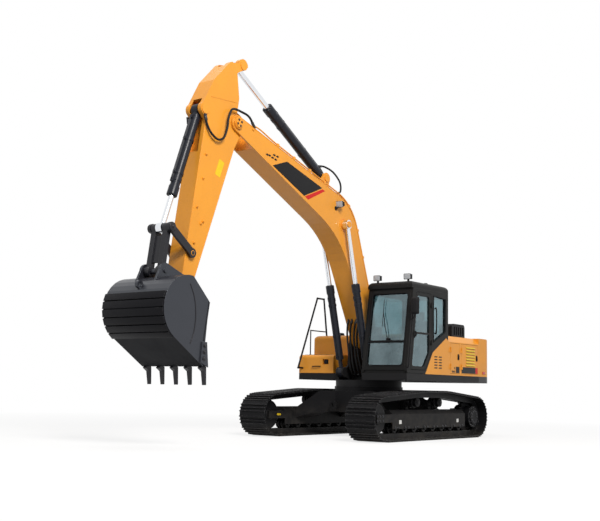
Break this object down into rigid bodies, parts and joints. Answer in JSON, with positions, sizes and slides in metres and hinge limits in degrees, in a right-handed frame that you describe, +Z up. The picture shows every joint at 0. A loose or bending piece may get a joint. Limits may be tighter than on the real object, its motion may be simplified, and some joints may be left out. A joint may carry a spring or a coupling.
{
  "type": "crawler excavator",
  "caption": "Crawler excavator with slewing house, hollow cab, hydraulic boom, arm and toothed bucket on steel tracks.",
  "frame": {"origin": "on the ground under the middle of the machine as it stands, bucket and counterweight included", "axes": "+X forward along the tracks, +Y to the operator's left, +Z up"},
  "size_m": [9.143, 2.98, 6.3162],
  "materials": {
    "frame_black": "satin",
    "track_steel": "matt",
    "frame_grey": "satin",
    "cast_weight": "painted",
    "engine_block": "matt",
    "amber_paint": "semi-gloss",
    "black_paint": "satin",
    "cab_paint": "satin",
    "tinted_glass": "clear",
    "seat_cloth": "woven",
    "cab_plastic": "moulded",
    "chrome_rod": "polished",
    "cylinder_paint": "satin",
    "bucket_paint": "satin"
  },
  "bodies": {
    "undercarriage": {"car_body": "frame_black", "swing_ring": "frame_black", "track_frame_left": "frame_black", "track_frame_right": "frame_black", "track_left": "track_steel", "track_right": "track_steel", "idlers": "track_steel", "sprockets": "track_steel", "track_rollers": "track_steel", "carrier_rollers": "track_steel"},
    "house": {"revolving_frame": "frame_grey", "counterweight": "cast_weight", "engine": "engine_block", "engine_housing": "amber_paint", "side_cowl": "amber_paint", "fuel_tank": "amber_paint", "toolbox": "amber_paint", "handrail": "black_paint", "hood_vent": "black_paint", "cab_floor": "cab_paint", "cab_front": "cab_paint", "cab_left_wall": "cab_paint", "cab_right_wall": "cab_paint", "cab_rear_wall": "cab_paint", "cab_roof": "cab_paint", "cab_glass": "tinted_glass", "seat": "seat_cloth", "consoles": "cab_plastic", "work_lamps": "black_paint"},
    "cab_door": {"cab_door": "cab_paint", "door_glass": "tinted_glass"},
    "left_front_door": {"left_door_front": "amber_paint"},
    "left_rear_door": {"left_door_rear": "amber_paint"},
    "right_door": {"right_door": "amber_paint"},
    "engine_hood": {"engine_hood": "amber_paint"},
    "boom": {"boom": "amber_paint"},
    "boom_rods": {"boom_rods": "chrome_rod"},
    "boom_tubes": {"boom_tubes": "cylinder_paint"},
    "arm": {"arm": "amber_paint"},
    "arm_tube": {"arm_tube": "cylinder_paint"},
    "arm_rod": {"arm_rod": "chrome_rod"},
    "bucket_tube": {"bucket_tube": "cylinder_paint"},
    "bucket_rod": {"bucket_rod": "chrome_rod"},
    "guide_links": {"guide_links": "bucket_paint"},
    "bucket_link": {"bucket_link": "bucket_paint"},
    "bucket": {"bucket": "bucket_paint", "bucket_teeth": "bucket_paint"}
  },
  "joints": [
    {"name": "swing", "type": "hinge", "parent": "undercarriage", "child": "house", "pos_m": [-1.72155, 0, 0.95], "axis": [0, 0, 1], "continuous": true},
    {"name": "boom_lift", "type": "hinge", "parent": "house", "child": "boom", "pos_m": [-1.57154, 0, 1.85], "axis": [0, 1, 0], "range_deg": [-18, 85]},
    {"name": "arm_crowd", "type": "hinge", "parent": "boom", "child": "arm", "pos_m": [2.59943, 0, 5.17964], "axis": [0, -1, 0], "range_deg": [-45, 50]},
    {"name": "bucket_curl", "type": "hinge", "parent": "arm", "child": "bucket", "pos_m": [3.63955, 0, 2.39773], "axis": [0, -1, 0], "range_deg": [-120, 40]},
    {"name": "cab_door", "type": "hinge", "parent": "house", "child": "cab_door", "pos_m": [-1.74855, 1.378, 2], "axis": [0, 0, 1], "range_deg": [0, 170]},
    {"name": "left_front_door", "type": "hinge", "parent": "house", "child": "left_front_door", "pos_m": [-2.50854, 1.378, 1.5], "axis": [0, 0, -1], "range_deg": [0, 100]},
    {"name": "left_rear_door", "type": "hinge", "parent": "house", "child": "left_rear_door", "pos_m": [-2.95854, 1.378, 1.5], "axis": [0, 0, -1], "range_deg": [0, 100]},
    {"name": "right_door", "type": "hinge", "parent": "house", "child": "right_door", "pos_m": [-2.51855, -1.378, 1.5], "axis": [0, 0, 1], "range_deg": [0, 100]},
    {"name": "engine_hood", "type": "hinge", "parent": "house", "child": "engine_hood", "pos_m": [-2.71855, 0, 1.979], "axis": [0, 1, 0], "range_deg": [0, 60]},
    {"name": "boom_rod_pivot", "type": "hinge", "parent": "boom", "child": "boom_rods", "pos_m": [-0.47615, 0, 3.94002], "axis": [0, -1, 0], "range_deg": [-1.71, 4.37]},
    {"name": "boom_tube_slide", "type": "slide", "parent": "boom_rods", "child": "boom_tubes", "axis": [-0.2643, 0, -0.9644], "range_m": [-0.8503, 0.184]},
    {"name": "arm_tube_pivot", "type": "hinge", "parent": "boom", "child": "arm_tube", "pos_m": [-0.06298, 0, 4.76888], "axis": [0, -1, 0], "range_deg": [-6.15, 6.73]},
    {"name": "arm_rod_slide", "type": "slide", "parent": "arm_tube", "child": "arm_rod", "axis": [0.8687, 0, 0.4953], "range_m": [-0.8151, 0.7341]},
    {"name": "bucket_tube_pivot", "type": "hinge", "parent": "arm", "child": "bucket_tube", "pos_m": [3.34037, 0, 5.25383], "axis": [0, -1, 0], "range_deg": [-3.56, 1.85]},
    {"name": "bucket_rod_slide", "type": "slide", "parent": "bucket_tube", "child": "bucket_rod", "axis": [0.3291, 0, -0.9443], "range_m": [-0.2793, 0.8278]},
    {"name": "guide_link_pivot", "type": "hinge", "parent": "arm", "child": "guide_links", "pos_m": [3.57684, 0, 2.90809], "axis": [0, -1, 0], "range_deg": [-97, 33]},
    {"name": "bucket_link_pivot", "type": "hinge", "parent": "bucket", "child": "bucket_link", "pos_m": [4.13955, 0, 2.57773], "axis": [0, -1, 0], "range_deg": [-28.48, 83.43]}
  ],
  "couplings": [
    {"joint": "boom_rod_pivot", "follows": "boom_lift", "ratio": 0.03968},
    {"joint": "boom_tube_slide", "follows": "boom_lift", "m_per_rad": -0.56976},
    {"joint": "arm_tube_pivot", "follows": "arm_crowd", "ratio": 0.11454},
    {"joint": "arm_rod_slide", "follows": "arm_crowd", "m_per_rad": -0.92828},
    {"joint": "bucket_tube_pivot", "follows": "bucket_curl", "ratio": 0.02136},
    {"joint": "bucket_rod_slide", "follows": "bucket_curl", "m_per_rad": -0.39287},
    {"joint": "guide_link_pivot", "follows": "bucket_curl", "ratio": 0.8},
    {"joint": "bucket_link_pivot", "follows": "bucket_curl", "ratio": -0.68696}
  ]
}
